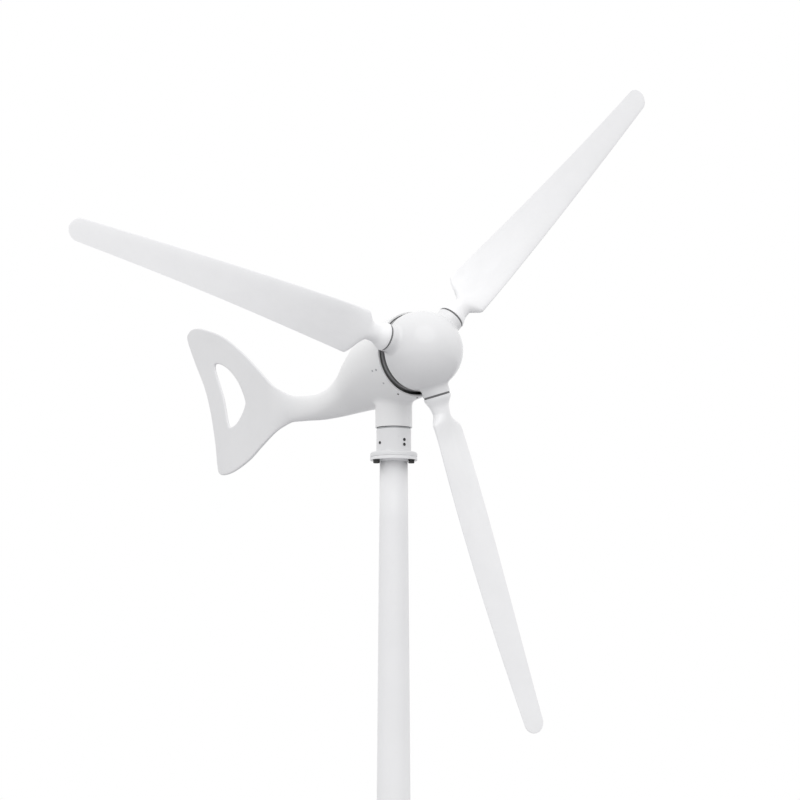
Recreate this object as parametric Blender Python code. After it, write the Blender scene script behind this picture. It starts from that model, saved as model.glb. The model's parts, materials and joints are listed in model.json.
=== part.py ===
"""Small three-blade wind turbine on a tapered mast, from the ground up.

Frame: +Z up, the rotor faces -Y and the tail points to +Y. The mast stands on the Z axis and
the origin is the middle of the base plate's underside. All sizes are in metres.
"""
import math

import bmesh
import bpy
import numpy as np
from mathutils import Matrix, Vector

# ---- Driving dimensions -------------------------------------------------------------------
GAP = 0.0003                 # between pieces that touch

MAST_HEIGHT = 3.600          # ground to the underside of the top flange
MAST_TOP_RADIUS = 0.0352
MAST_BASE_RADIUS = 0.063
MAST_WALL = 0.0035

PLATE_SIZE = 0.260
PLATE_THICK = 0.016
PLATE_CORNER = 0.020
ANCHOR_SPACING = 0.200
ANCHOR_HOLE_RADIUS = 0.009
GUSSET_HEIGHT = 0.110
GUSSET_THICK = 0.008
GUSSET_TOE = 0.012           # height of the gusset's outer end

FLANGE_RADIUS = 0.0595
MAST_FLANGE_THICK = 0.008
YAW_FLANGE_THICK = 0.012
YAW_FLANGE_SHOULDER = 0.006  # rounded shoulder of the yaw flange
HOUSING_RADIUS = 0.0438
SEAM_HEIGHT = 0.078          # underside of the flanges to the yaw seam
SEAM_GAP = 0.005
SPINDLE_RADIUS = 0.022
SPINDLE_CLEARANCE = 0.0015

HUB_ABOVE_FLANGE = 0.261
HUB_OVERHANG = 0.143         # mast axis to the middle of the blade sockets
NECK_RADIUS = 0.0465

RIM_Y = -0.101               # front rim of the nacelle
RIM_RADIUS = 0.1065
RIM_DROP = 0.0035            # the rim's middle sits below the rotor axis
STATOR_RADIUS = 0.0970
STATOR_FRONT_Y = -0.1035
STATOR_BACK_Y = -0.050
SHAFT_RADIUS = 0.012
SHAFT_CLEARANCE = 0.0015

SPINNER_RADIUS = 0.099
SPINNER_EQUATOR_Y = -0.142
SPINNER_BACK_Y = -0.1190
SPINNER_WALL = 0.004
SOCKET_RADIUS = 0.0345
SOCKET_END = 0.1140          # distance from the rotor axis
GASKET_THICK = 0.0045
HUB_RADIUS = 0.060
HUB_HALF_DEPTH = 0.024
ARM_RADIUS = 0.022

ROTOR_RADIUS = 0.990
CONE_DEG = 2.0               # the blades lean forward, away from the mast
BLADE_FOOT_RADIUS = 0.0345
BLADE_NECK_RADIUS = 0.0205
BLADE_NECK_LEAD = 0.0265     # the neck is less waisted on its leading side
ROOT_PITCH_DEG = 25.0
TIP_LENGTH = 0.026
BLADE_COUNT = 3
FIRST_BLADE_DEG = 41.8       # clockwise from straight up, seen from the front
PROFILE_POINTS = 24

FIN_THICK = 0.008
FIN_START_Y = 0.530

HUB_Z = MAST_HEIGHT + HUB_ABOVE_FLANGE
SEAM_Z = MAST_HEIGHT + SEAM_HEIGHT


# ---- Small tools --------------------------------------------------------------------------
def clear_scene():
    for obj in list(bpy.data.objects):
        bpy.data.objects.remove(obj, do_unlink=True)


def make_material(name, colour, roughness, metallic=0.0):
    material = bpy.data.materials.new(name)
    material.use_nodes = True
    shader = material.node_tree.nodes["Principled BSDF"]
    shader.inputs["Base Color"].default_value = (*colour, 1.0)
    shader.inputs["Roughness"].default_value = roughness
    shader.inputs["Metallic"].default_value = metallic
    return material


def add_object(name, mesh, material, parent=None):
    obj = bpy.data.objects.new(name, mesh)
    bpy.context.scene.collection.objects.link(obj)
    if material is not None:
        mesh.materials.append(material)
    if parent is not None:
        obj.parent = parent
        obj.matrix_parent_inverse = parent.matrix_world.inverted()
    return obj


def add_empty(name, place, parent=None):
    empty = bpy.data.objects.new(name, None)
    bpy.context.scene.collection.objects.link(empty)
    empty.matrix_world = Matrix.Translation(place)
    if parent is not None:
        empty.parent = parent
        empty.matrix_parent_inverse = parent.matrix_world.inverted()
    bpy.context.view_layer.update()
    return empty


def mesh_from_bmesh(name, bm, smooth_degrees=35.0):
    bmesh.ops.recalc_face_normals(bm, faces=bm.faces)
    if bm.calc_volume(signed=True) < 0.0:
        bmesh.ops.reverse_faces(bm, faces=bm.faces)
    mesh = bpy.data.meshes.new(name)
    bm.to_mesh(mesh)
    bm.free()
    mesh.shade_smooth()
    mesh.set_sharp_from_angle(angle=math.radians(smooth_degrees))
    return mesh


def loft(name, rings):
    """One closed body through rings of equally many points, with flat ends."""
    bm = bmesh.new()
    loops = [[bm.verts.new(point) for point in ring] for ring in rings]
    count = len(loops[0])
    for near, far in zip(loops, loops[1:]):
        for i in range(count):
            j = (i + 1) % count
            bm.faces.new((near[i], near[j], far[j], far[i]))
    bm.faces.new(loops[0][::-1])
    bm.faces.new(loops[-1])
    return mesh_from_bmesh(name, bm)


def turned(name, profile, steps=48, axis="Z"):
    """Closed body turned from a closed outline of (radius, height) points."""
    bm = bmesh.new()
    rings = []
    for radius, height in profile:
        if radius < 1e-9:
            rings.append([bm.verts.new((0.0, 0.0, height))])
            continue
        ring = []
        for i in range(steps):
            angle = 2.0 * math.pi * i / steps
            ring.append(bm.verts.new((radius * math.cos(angle), radius * math.sin(angle), height)))
        rings.append(ring)
    for near, far in zip(rings, rings[1:] + rings[:1]):
        if len(near) == 1 and len(far) == 1:
            continue
        for i in range(steps):
            j = (i + 1) % steps
            if len(near) == 1:
                bm.faces.new((near[0], far[j], far[i]))
            elif len(far) == 1:
                bm.faces.new((near[i], near[j], far[0]))
            else:
                bm.faces.new((near[i], near[j], far[j], far[i]))
    if axis == "Y":
        bmesh.ops.rotate(bm, verts=bm.verts, matrix=Matrix.Rotation(math.radians(-90.0), 3, "X"))
    return mesh_from_bmesh(name, bm)


def plate(name, outline, thickness):
    """Flat plate of an (x, y) outline, from z = 0 to the thickness."""
    bm = bmesh.new()
    low = [bm.verts.new((x, y, 0.0)) for x, y in outline]
    face = bm.faces.new(low)
    made = bmesh.ops.extrude_face_region(bm, geom=[face])
    raised = [item for item in made["geom"] if isinstance(item, bmesh.types.BMVert)]
    bmesh.ops.translate(bm, verts=raised, vec=(0.0, 0.0, thickness))
    return mesh_from_bmesh(name, bm)


def rod(name, radius, start, end, steps=24):
    """Straight round bar between two points."""
    start = Vector(start)
    end = Vector(end)
    bm = bmesh.new()
    bmesh.ops.create_cone(bm, cap_ends=True, segments=steps, radius1=radius, radius2=radius,
                          depth=(end - start).length)
    turn = Vector((0.0, 0.0, 1.0)).rotation_difference(end - start).to_matrix().to_4x4()
    bm.transform(Matrix.Translation((start + end) / 2.0) @ turn)
    return mesh_from_bmesh(name, bm)


def boolean(obj, mesh, operation):
    """Cut a guide mesh out of an object, or join it on."""
    guide = add_object(obj.name + "_" + operation.lower() + "_guide", mesh, None)
    guide.hide_render = True
    guide.display_type = "WIRE"
    modifier = obj.modifiers.new(operation.title(), "BOOLEAN")
    modifier.operation = operation
    modifier.object = guide
    modifier.solver = "EXACT"
    return guide


def smooth_step(value):
    value = min(max(value, 0.0), 1.0)
    return value * value * (3.0 - 2.0 * value)


def spline(points, per_span=4, closed=False):
    """Smooth (Catmull-Rom) curve through a few points."""
    points = [Vector(p) for p in points]
    count = len(points)
    result = []
    spans = count if closed else count - 1
    for i in range(spans):
        if closed:
            p0, p1, p2, p3 = (points[(i + k) % count] for k in (-1, 0, 1, 2))
        else:
            p0 = points[max(i - 1, 0)]
            p1 = points[i]
            p2 = points[i + 1]
            p3 = points[min(i + 2, count - 1)]
        for step in range(per_span):
            t = step / per_span
            result.append(0.5 * (2.0 * p1 + (p2 - p0) * t + (2.0 * p0 - 5.0 * p1 + 4.0 * p2 - p3) * t * t
                                 + (3.0 * p1 - p0 - 3.0 * p2 + p3) * t ** 3))
    if not closed:
        result.append(points[-1])
    return result


# ---- Mast ---------------------------------------------------------------------------------
def mast_radius(height):
    return MAST_BASE_RADIUS + (MAST_TOP_RADIUS - MAST_BASE_RADIUS) * height / MAST_HEIGHT


def build_base_plate(material):
    half = PLATE_SIZE / 2.0
    outline = []
    for quarter in range(4):
        turn = quarter * math.pi / 2.0
        corner = Vector((half - PLATE_CORNER, half - PLATE_CORNER))
        for step in range(5):
            angle = step * math.pi / 8.0
            point = corner + PLATE_CORNER * Vector((math.cos(angle), math.sin(angle)))
            point.rotate(Matrix.Rotation(turn, 2))
            outline.append(point)
    base = add_object("base_plate", plate("base_plate", outline, PLATE_THICK), material)
    bm = bmesh.new()
    for sx in (-1, 1):
        for sy in (-1, 1):
            place = (sx * ANCHOR_SPACING / 2.0, sy * ANCHOR_SPACING / 2.0, PLATE_THICK / 2.0)
            bmesh.ops.create_cone(bm, cap_ends=True, segments=16, radius1=ANCHOR_HOLE_RADIUS,
                                  radius2=ANCHOR_HOLE_RADIUS, depth=4.0 * PLATE_THICK,
                                  matrix=Matrix.Translation(place))
    boolean(base, mesh_from_bmesh("anchor_holes", bm), "DIFFERENCE")


def build_gussets(material):
    inner = mast_radius(PLATE_THICK) + GAP
    outer = PLATE_SIZE / 2.0 - 0.006
    bottom = PLATE_THICK + GAP
    side = [(inner, bottom), (outer, bottom), (outer, bottom + GUSSET_TOE),
            (inner + GUSSET_TOE, bottom + GUSSET_HEIGHT), (inner, bottom + GUSSET_HEIGHT)]
    for number in range(4):
        mesh = plate(f"gusset_{number + 1}", side, GUSSET_THICK)
        stand = Matrix.Rotation(math.radians(90.0), 4, "X")
        centre = Matrix.Translation((0.0, GUSSET_THICK / 2.0, 0.0))
        turn = Matrix.Rotation(number * math.pi / 2.0, 4, "Z")
        mesh.transform(turn @ centre @ stand)
        add_object(f"gusset_{number + 1}", mesh, material)


def build_mast_tube(material):
    low = PLATE_THICK + GAP
    high = MAST_HEIGHT - GAP
    outline = [(mast_radius(low) - MAST_WALL, low), (mast_radius(low), low),
               (mast_radius(high), high), (mast_radius(high) - MAST_WALL, high)]
    add_object("mast_tube", turned("mast_tube", outline), material)


def build_mast_flange(material):
    low = MAST_HEIGHT
    high = MAST_HEIGHT + MAST_FLANGE_THICK
    inner = MAST_TOP_RADIUS - MAST_WALL
    outline = [(inner, low), (FLANGE_RADIUS, low), (FLANGE_RADIUS, high), (inner, high)]
    add_object("mast_top_flange", turned("mast_top_flange", outline), material)


# ---- Yaw bearing --------------------------------------------------------------------------
def build_yaw_base(white, dark, steel):
    low = MAST_HEIGHT + MAST_FLANGE_THICK + GAP
    top = SEAM_Z
    shoulder = low + YAW_FLANGE_THICK
    seat = top - 0.030
    outline = [(0.0, low), (FLANGE_RADIUS, low), (FLANGE_RADIUS, shoulder - YAW_FLANGE_SHOULDER)]
    for step in range(1, 5):
        angle = step * math.pi / 8.0
        radius = FLANGE_RADIUS - YAW_FLANGE_SHOULDER * (1.0 - math.cos(angle))
        outline.append((radius, shoulder - YAW_FLANGE_SHOULDER * (1.0 - math.sin(angle))))
    outline += [(HOUSING_RADIUS + 0.003, shoulder), (HOUSING_RADIUS, shoulder + 0.003),
                (HOUSING_RADIUS, top), (SPINDLE_RADIUS + GAP, top), (SPINDLE_RADIUS + GAP, seat),
                (0.0, seat)]
    add_object("yaw_base_housing", turned("yaw_base_housing", outline), white)

    spindle_top = HUB_Z - 0.100
    outline = [(0.0, seat + GAP), (SPINDLE_RADIUS, seat + GAP), (SPINDLE_RADIUS, spindle_top),
               (0.0, spindle_top)]
    add_object("yaw_spindle", turned("yaw_spindle", outline, steps=32), steel)

    inner = SPINDLE_RADIUS + 2.0 * GAP
    outer = HOUSING_RADIUS - 0.004
    low = top + GAP
    high = top + 0.0032
    outline = [(inner, low), (outer, low), (outer, high), (inner, high)]
    add_object("yaw_bearing_ring", turned("yaw_bearing_ring", outline), dark)


# ---- Nacelle ------------------------------------------------------------------------------
# Distance along Y, then top, bottom and half width of the body, heights from the rotor axis.
NACELLE_SECTIONS = [
    (RIM_Y, RIM_RADIUS - RIM_DROP, -RIM_RADIUS - RIM_DROP, RIM_RADIUS),
    (-0.075, 0.1020, -0.1135, 0.1075),
    (-0.020, 0.0930, -0.1180, 0.1070),
    (0.050, 0.0780, -0.1190, 0.1020),
    (0.130, 0.0400, -0.1180, 0.0830),
    (0.200, 0.0030, -0.1190, 0.0600),
    (0.280, -0.0290, -0.1200, 0.0410),
    (0.370, -0.0450, -0.1180, 0.0260),
    (0.460, -0.0430, -0.1110, 0.0165),
    (0.560, -0.0270, -0.1080, 0.0100),
]


def nacelle_ring(y, top, bottom, half_width, count=40):
    middle = (top + bottom) / 2.0
    half_height = (top - bottom) / 2.0
    ring = []
    for i in range(count):
        angle = 2.0 * math.pi * i / count
        ring.append((half_width * math.cos(angle), y, HUB_Z + middle + half_height * math.sin(angle)))
    return ring


def build_nacelle(white, dark, parent):
    stations = spline([Vector(row) for row in NACELLE_SECTIONS], per_span=3)
    rings = [nacelle_ring(*station) for station in stations]
    body = add_object("nacelle_housing", loft("nacelle_housing", rings), white, parent)
    neck_low = SEAM_Z + SEAM_GAP
    neck = [(0.0, neck_low), (NECK_RADIUS, neck_low), (NECK_RADIUS, HUB_Z - 0.120),
            (0.0, HUB_Z - 0.090)]
    boolean(body, turned("neck", neck), "UNION")
    bore = SPINDLE_RADIUS + SPINDLE_CLEARANCE
    spindle_hole = rod("spindle_hole", bore, (0.0, 0.0, SEAM_Z - 0.02), (0.0, 0.0, HUB_Z - 0.094), 32)
    boolean(body, spindle_hole, "DIFFERENCE")
    recess = rod("recess", STATOR_RADIUS + GAP, (0.0, RIM_Y - 0.02, HUB_Z),
                 (0.0, STATOR_BACK_Y + GAP, HUB_Z), 48)
    boolean(body, recess, "DIFFERENCE")
    slot = Matrix.Translation((0.0, FIN_START_Y + 0.1, HUB_Z))
    bm = bmesh.new()
    bmesh.ops.create_cube(bm, size=1.0, matrix=slot @ Matrix.Diagonal((FIN_THICK + 2 * GAP, 0.2, 0.5, 1.0)))
    boolean(body, mesh_from_bmesh("fin_slot", bm), "DIFFERENCE")

    hole = SHAFT_RADIUS + SHAFT_CLEARANCE
    depth_front = STATOR_FRONT_Y
    depth_back = STATOR_BACK_Y
    outline = [(hole, depth_front), (STATOR_RADIUS, depth_front), (STATOR_RADIUS, depth_back),
               (hole, depth_back)]
    stator = turned("generator_stator", outline, axis="Y")
    stator.transform(Matrix.Translation((0.0, 0.0, HUB_Z)))
    add_object("generator_stator", stator, dark, parent)


# Outline of the tail fin as (distance along Y, height from the rotor axis), clockwise.
FIN_TOP = [(FIN_START_Y, -0.034), (0.598, -0.012), (0.654, 0.013), (0.728, 0.061), (0.836, 0.128),
           (0.956, 0.188), (1.079, 0.226), (1.132, 0.235)]
FIN_TIP = [(1.166, 0.231), (1.180, 0.208)]
FIN_BACK = [(1.125, 0.129), (1.063, 0.050), (1.021, -0.030), (0.991, -0.118), (0.977, -0.180)]
FIN_BOTTOM = [(0.966, -0.206), (0.935, -0.215), (0.870, -0.210), (0.782, -0.187), (0.707, -0.155),
              (0.640, -0.128), (0.590, -0.115), (FIN_START_Y, -0.109)]
FIN_HOLE = [(1.000, 0.098), (0.982, 0.111), (0.920, 0.089), (0.856, 0.045), (0.810, -0.012),
            (0.812, -0.036), (0.850, -0.070), (0.893, -0.082), (0.914, -0.067), (0.945, 0.010)]


def build_fin(material, parent):
    bare = FIN_TOP + FIN_TIP + FIN_BACK + FIN_BOTTOM
    outline = [(p.x, p.y) for p in spline(bare, per_span=3)]
    stand = Matrix(((0.0, 0.0, 1.0, -FIN_THICK / 2.0), (1.0, 0.0, 0.0, 0.0), (0.0, 1.0, 0.0, HUB_Z),
                    (0.0, 0.0, 0.0, 1.0)))
    mesh = plate("tail_fin", outline, FIN_THICK)
    mesh.transform(stand)
    fin = add_object("tail_fin", mesh, material, parent)
    hole = [(p.x, p.y) for p in spline(FIN_HOLE, per_span=2, closed=True)]
    cutter = plate("fin_hole", hole, 3.0 * FIN_THICK)
    cutter.transform(stand @ Matrix.Translation((0.0, 0.0, -FIN_THICK)))
    boolean(fin, cutter, "DIFFERENCE")


# ---- Rotor --------------------------------------------------------------------------------
def blade_frame(number):
    """Frame of a blade: X out along the blade, Y to its trailing edge, Z towards the nose."""
    angle = math.radians(FIRST_BLADE_DEG + number * 360.0 / BLADE_COUNT)
    cone = math.radians(CONE_DEG)
    nose = Vector((0.0, -1.0, 0.0))
    outward = Vector((math.sin(angle), 0.0, math.cos(angle)))
    radial = outward * math.cos(cone) + nose * math.sin(cone)
    trailing = Vector((-math.cos(angle), 0.0, math.sin(angle)))
    frame = Matrix((radial, trailing, radial.cross(trailing))).transposed().to_4x4()
    frame.translation = (0.0, -HUB_OVERHANG, HUB_Z)
    return frame


def blade_section(radius):
    """Leading offset, trailing offset, half thickness and how far the section is an aerofoil."""
    share = radius / ROTOR_RADIUS
    lead = 0.0505 + 0.0082 * share - 0.0307 * share ** 2
    trail = 0.0873 - 0.0967 * share + 0.0361 * share ** 2
    thick = 0.0095 - 0.0062 * share
    neck = BLADE_NECK_RADIUS
    foot = (BLADE_FOOT_RADIUS - neck) * math.exp(-(max(radius - SOCKET_END - 0.006, 0.0) / 0.018) ** 2)
    foot_lead = foot * (BLADE_FOOT_RADIUS - BLADE_NECK_LEAD) / (BLADE_FOOT_RADIUS - neck)
    lead = BLADE_NECK_LEAD + (lead - BLADE_NECK_LEAD) * smooth_step((radius - 0.160) / 0.028) + foot_lead
    trail = neck + (trail - neck) * smooth_step((radius - 0.165) / 0.045) + foot
    flat = smooth_step((radius - 0.150) / 0.100)
    thick = neck + (thick - neck) * flat + foot
    tip_start = ROTOR_RADIUS - TIP_LENGTH
    if radius > tip_start:
        shrink = math.sqrt(max(1.0 - ((radius - tip_start) / (1.01 * TIP_LENGTH)) ** 2, 0.0))
        lead = lead * shrink
        trail = trail * shrink
        thick = thick * max(shrink, 0.4)
    return lead, trail, thick, flat


def blade_pitch(radius):
    outboard = min(max((radius - 0.200) / (ROTOR_RADIUS - 0.200), 0.0), 1.0)
    return math.radians(ROOT_PITCH_DEG) * (1.0 - outboard) ** 2.2 * smooth_step((radius - 0.125) / 0.060)


def blade_ring(radius):
    lead, trail, thick, flat = blade_section(radius)
    pitch = blade_pitch(radius)
    ring = []
    for i in range(PROFILE_POINTS):
        angle = 2.0 * math.pi * i / PROFILE_POINTS
        along = math.cos(angle)
        chord = lead * along if along > 0.0 else trail * along
        place = (1.0 - along) / 2.0
        foil = 2.6 * (math.sqrt(place) - place) * (1.0 - 0.35 * place)
        up = math.sin(angle)
        side = 0.85 if up >= 0.0 else -1.15
        height = thick * ((1.0 - flat) * up + flat * side * foil)
        across = chord * math.cos(pitch) - height * math.sin(pitch)
        toward_nose = chord * math.sin(pitch) + height * math.cos(pitch)
        ring.append((radius, -across, toward_nose))
    return ring


def blade_radii():
    foot_start = SOCKET_END + GASKET_THICK + 2.0 * GAP
    root_end = 0.240
    tip_start = ROTOR_RADIUS - TIP_LENGTH
    root = [foot_start + (root_end - foot_start) * i / 14 for i in range(14)]
    body = [root_end + (tip_start - root_end) * i / 9 for i in range(9)]
    tip = [tip_start + TIP_LENGTH * math.sin(math.pi / 2.0 * i / 6) for i in range(7)]
    return root + body + tip


def build_blades(white, rubber, parent):
    for number in range(BLADE_COUNT):
        frame = blade_frame(number)
        rings = [[frame @ Vector(point) for point in blade_ring(radius)] for radius in blade_radii()]
        add_object(f"blade_{number + 1}", loft(f"blade_{number + 1}", rings), white, parent)
        start = SOCKET_END + GAP
        end = start + GASKET_THICK
        gasket = rod(f"blade_gasket_{number + 1}", BLADE_FOOT_RADIUS - 0.002,
                     frame @ Vector((start, 0.0, 0.0)), frame @ Vector((end, 0.0, 0.0)), 32)
        add_object(f"blade_gasket_{number + 1}", gasket, rubber, parent)


def spinner_outline(radius, back):
    """Half of a round-nosed solid, from the middle of its back to its nose, as (radius, depth)."""
    points = [(0.0, back), (radius, back), (radius, SPINNER_EQUATOR_Y)]
    for step in range(1, 12):
        angle = step * math.pi / 24.0
        points.append((radius * math.cos(angle), SPINNER_EQUATOR_Y - radius * math.sin(angle)))
    points.append((0.0, SPINNER_EQUATOR_Y - radius))
    return points


def add_arms(obj, radius, start, end, steps):
    """Join a round arm onto an object for each blade."""
    for number in range(BLADE_COUNT):
        frame = blade_frame(number)
        arm = rod("arm", radius, frame @ Vector((start, 0.0, 0.0)), frame @ Vector((end, 0.0, 0.0)), steps)
        boolean(obj, arm, "UNION")


def build_spinner(white, parent):
    outer = spinner_outline(SPINNER_RADIUS, SPINNER_BACK_Y)
    mesh = turned("spinner", outer, axis="Y")
    mesh.transform(Matrix.Translation((0.0, 0.0, HUB_Z)))
    spinner = add_object("spinner", mesh, white, parent)
    add_arms(spinner, SOCKET_RADIUS, 0.050, SOCKET_END, 40)
    inner = spinner_outline(SPINNER_RADIUS - SPINNER_WALL, SPINNER_BACK_Y + 0.02)
    mesh = turned("cavity", inner, axis="Y")
    mesh.transform(Matrix.Translation((0.0, 0.0, HUB_Z)))
    cavity = boolean(spinner, mesh, "DIFFERENCE")
    add_arms(cavity, SOCKET_RADIUS - SPINNER_WALL, 0.040, SOCKET_END + 0.02, 40)


def build_hub(steel, parent):
    front = -HUB_OVERHANG - HUB_HALF_DEPTH
    back = -HUB_OVERHANG + HUB_HALF_DEPTH
    bore = SHAFT_RADIUS + GAP
    outline = [(0.0, front), (HUB_RADIUS, front), (HUB_RADIUS, back), (bore, back),
               (bore, -HUB_OVERHANG), (0.0, -HUB_OVERHANG)]
    mesh = turned("rotor_hub", outline, axis="Y")
    mesh.transform(Matrix.Translation((0.0, 0.0, HUB_Z)))
    hub = add_object("rotor_hub", mesh, steel, parent)
    add_arms(hub, ARM_RADIUS, 0.030, SOCKET_END, 24)
    shaft = rod("rotor_shaft", SHAFT_RADIUS, (0.0, -HUB_OVERHANG + GAP, HUB_Z),
                (0.0, STATOR_BACK_Y - 0.004, HUB_Z), 32)
    add_object("rotor_shaft", shaft, steel, parent)


# ---- Whole turbine ------------------------------------------------------------------------
def main():
    clear_scene()
    white = make_material("white_paint", (0.82, 0.82, 0.83), 0.35)
    fin_white = make_material("fin_white", (0.78, 0.78, 0.79), 0.45)
    blade_white = make_material("blade_plastic", (0.90, 0.90, 0.91), 0.40)
    dark = make_material("dark_metal", (0.12, 0.12, 0.125), 0.50, 0.6)
    steel = make_material("steel", (0.55, 0.56, 0.58), 0.35, 1.0)
    rubber = make_material("rubber", (0.03, 0.03, 0.03), 0.80)

    yaw = add_empty("yaw_axis", (0.0, 0.0, SEAM_Z))
    spin = add_empty("spin_axis", (0.0, -HUB_OVERHANG, HUB_Z), yaw)

    build_base_plate(white)
    build_gussets(white)
    build_mast_tube(white)
    build_mast_flange(white)
    build_yaw_base(white, dark, steel)
    build_nacelle(white, dark, yaw)
    build_fin(fin_white, yaw)
    build_spinner(white, spin)
    build_hub(steel, spin)
    build_blades(blade_white, rubber, spin)


main()
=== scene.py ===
"""Looks of the small three-blade wind turbine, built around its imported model.

Frame: metres, +Z up, the rotor faces -Y and the mast stands on the Z axis. Bodies: mast,
nacelle (turns about the mast) and rotor (turns about the shaft).
"""
import json
import math
from collections import Counter

import bmesh
import bpy
import numpy as np
from mathutils import Matrix, Vector
from mathutils.geometry import delaunay_2d_cdt


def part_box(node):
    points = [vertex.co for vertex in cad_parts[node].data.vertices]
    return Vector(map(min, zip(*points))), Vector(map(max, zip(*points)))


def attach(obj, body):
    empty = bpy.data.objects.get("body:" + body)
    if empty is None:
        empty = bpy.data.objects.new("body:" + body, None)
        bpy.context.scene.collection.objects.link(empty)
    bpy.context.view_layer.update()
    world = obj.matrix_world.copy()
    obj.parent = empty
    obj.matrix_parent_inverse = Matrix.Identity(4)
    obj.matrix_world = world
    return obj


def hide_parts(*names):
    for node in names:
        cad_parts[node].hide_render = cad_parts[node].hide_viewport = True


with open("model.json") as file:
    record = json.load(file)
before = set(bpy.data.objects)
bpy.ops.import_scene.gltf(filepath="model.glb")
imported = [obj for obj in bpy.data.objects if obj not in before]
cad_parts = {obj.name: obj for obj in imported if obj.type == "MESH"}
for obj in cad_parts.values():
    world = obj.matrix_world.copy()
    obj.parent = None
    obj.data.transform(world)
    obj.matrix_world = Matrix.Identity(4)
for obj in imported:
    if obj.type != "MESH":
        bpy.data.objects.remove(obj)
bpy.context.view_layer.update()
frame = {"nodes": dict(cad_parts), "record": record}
JOINTS = {joint["name"]: joint for joint in frame["record"]["behaviour"]["joints"]}

# ---- Places taken from the frame ----
HUB = Vector(JOINTS["rotor_spin"]["pos_m"])
SEAM_Z = JOINTS["yaw"]["pos_m"][2]
TO_NOSE = Matrix.Translation((0.0, 0.0, HUB.z)) @ Matrix.Rotation(math.pi / 2.0, 4, "X")
UP = Vector((0.0, 0.0, 1.0))
FLANGE_LOW, FLANGE_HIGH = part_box("mast_top_flange")
HOUSING_LOW, HOUSING_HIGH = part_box("yaw_base_housing")
PLATE_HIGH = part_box("base_plate")[1]
TUBE_LOW, TUBE_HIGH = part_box("mast_tube")
STATOR_LOW, STATOR_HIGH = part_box("generator_stator")
GUSSET_LOW, GUSSET_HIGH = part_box("gusset_1")

# ---- Design sizes ----
GAP = 0.0003
MAST_TOP_RADIUS = 0.0352
MAST_BASE_RADIUS = 0.063
MAST_WALL = 0.0035
PLATE_CORNER = 0.020
ANCHOR_SPACING = 0.200
ANCHOR_HOLE_RADIUS = 0.009
HOLE_CUTTER_ENDS = (-0.01, 0.03)  # heights, well below and above the plate
GUSSET_TOE = 0.012
HOUSING_RADIUS = 0.0438
SEAM_GAP = 0.005
NECK_RADIUS = 0.0465
NECK_BLEND = 0.012
NECK_TOP_DROP = 0.06              # the neck ends inside the body, this far under the rotor axis
ROUGH_MARGIN = 0.012              # how far a rough solid reaches past the cut that trims it
CORE_RADIUS = 0.0005              # pin hole that stands for the centre of a turned solid

RIM_Y = -0.101
RIM_RADIUS = 0.1065
RIM_DROP = 0.0035
CASTING_WALL = 0.0045
CASTING_VOXEL = 0.0032
TAIL_SEAM_Y = 0.535

SPINNER_RADIUS = 0.099
SPINNER_EQUATOR_Y = -0.142
SPINNER_BACK_Y = -0.1190
SPINNER_WALL = 0.0035
SOCKET_RADIUS = 0.0345
SOCKET_END = 0.1140
SOCKET_BLEND = 0.008
SPINNER_VOXEL = 0.0024
SKIRT_DEPTH = 0.04                # rough skirt behind the spinner's equator, before it is cut
CUT_REACH = 0.08                  # a socket's cut leaves alone what is nearer the hub than this

STATOR_BORE = 0.0145
STATOR_BLOCKS = 24
BLOCK_INNER = 0.054
BLOCK_OUTER = 0.080

ROTOR_RADIUS = 0.990
CONE_DEG = 2.0
BLADE_FOOT_RADIUS = 0.0345
BLADE_NECK_RADIUS = 0.0205
BLADE_NECK_LEAD = 0.0265
ROOT_PITCH_DEG = 25.0
TIP_LENGTH = 0.026
GASKET_THICK = 0.0045
GASKET_BORE = 0.012
GASKET_RECESS = 0.0018
BLADE_COUNT = 3
FIRST_BLADE_DEG = 41.8
# A blade's edges, from its axis: a + b s + c s^2, where s is the share of the rotor's radius.
BLADE_LEAD = (0.0505, 0.0082, -0.0307)
BLADE_TRAIL = (0.0873, -0.0967, 0.0361)
# Where the edges, the flat section and the pitch start to grow, and over what length.
LEAD_GROWTH = (0.160, 0.028)
TRAIL_GROWTH = (0.165, 0.045)
FLAT_GROWTH = (0.150, 0.100)
PITCH_GROWTH = (0.125, 0.060)
PITCH_FALL_START = 0.200

FIN_THICK = 0.008
FIN_EDGE_ROUND = 0.0045
FIN_JOIN_LENGTH = 0.060           # over this length the fin's edges run into the boom's
FIN_SWELL_LENGTH = 0.17           # and over this one its thickness does
FIN_FRONT_END = 0.80              # the fin's upper and lower edge are told apart as far as here
BOOM_MIDDLE_Z = -0.070            # height of the boom's middle at the seam, from the rotor axis

# ---- Studio ----
CAMERA_PLACE = (-3.111, -5.176, HUB.z - 0.924)
CAMERA_TURN_DEG = (97.702, 0.0, -31.157)
CAMERA_LENS = 108.63
KEY_PLACE = (-2.5, -5.5, 9.0)
KEY_SIZE = 8.0
KEY_POWER = 165.0
FLOOR_RADIUS = 9.0
FLOOR_COLOUR = (0.52, 0.52, 0.53)
GROUND_GLOW = (0.38, 0.38, 0.39)
DARK_SIDE = (0.52, -0.85, 0.02)   # where the soft dark zone of the surroundings lies
DARK_INNER_DEG = 8.0
DARK_OUTER_DEG = 34.0
DARK_LEVEL = 0.70
GLOW_STOP = 0.36                  # stops of the ramp from straight down, 0, to straight up, 1
WHITE_STOP = 0.455

# ---- Bolts, welds and screws ----
ANCHOR_WASHER_RADIUS = 0.0150
ANCHOR_WASHER_THICK = 0.003
ANCHOR_NUT_ACROSS = 0.024
ANCHOR_NUT_HEIGHT = 0.013
ANCHOR_STUD_RADIUS = 0.0080
ANCHOR_STUD_RISE = 0.026          # above the plate
ANCHOR_THREAD_PITCH = 0.0020

FOOT_WELD_RADIUS = 0.0036
WELD_RADIUS = 0.0024

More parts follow.
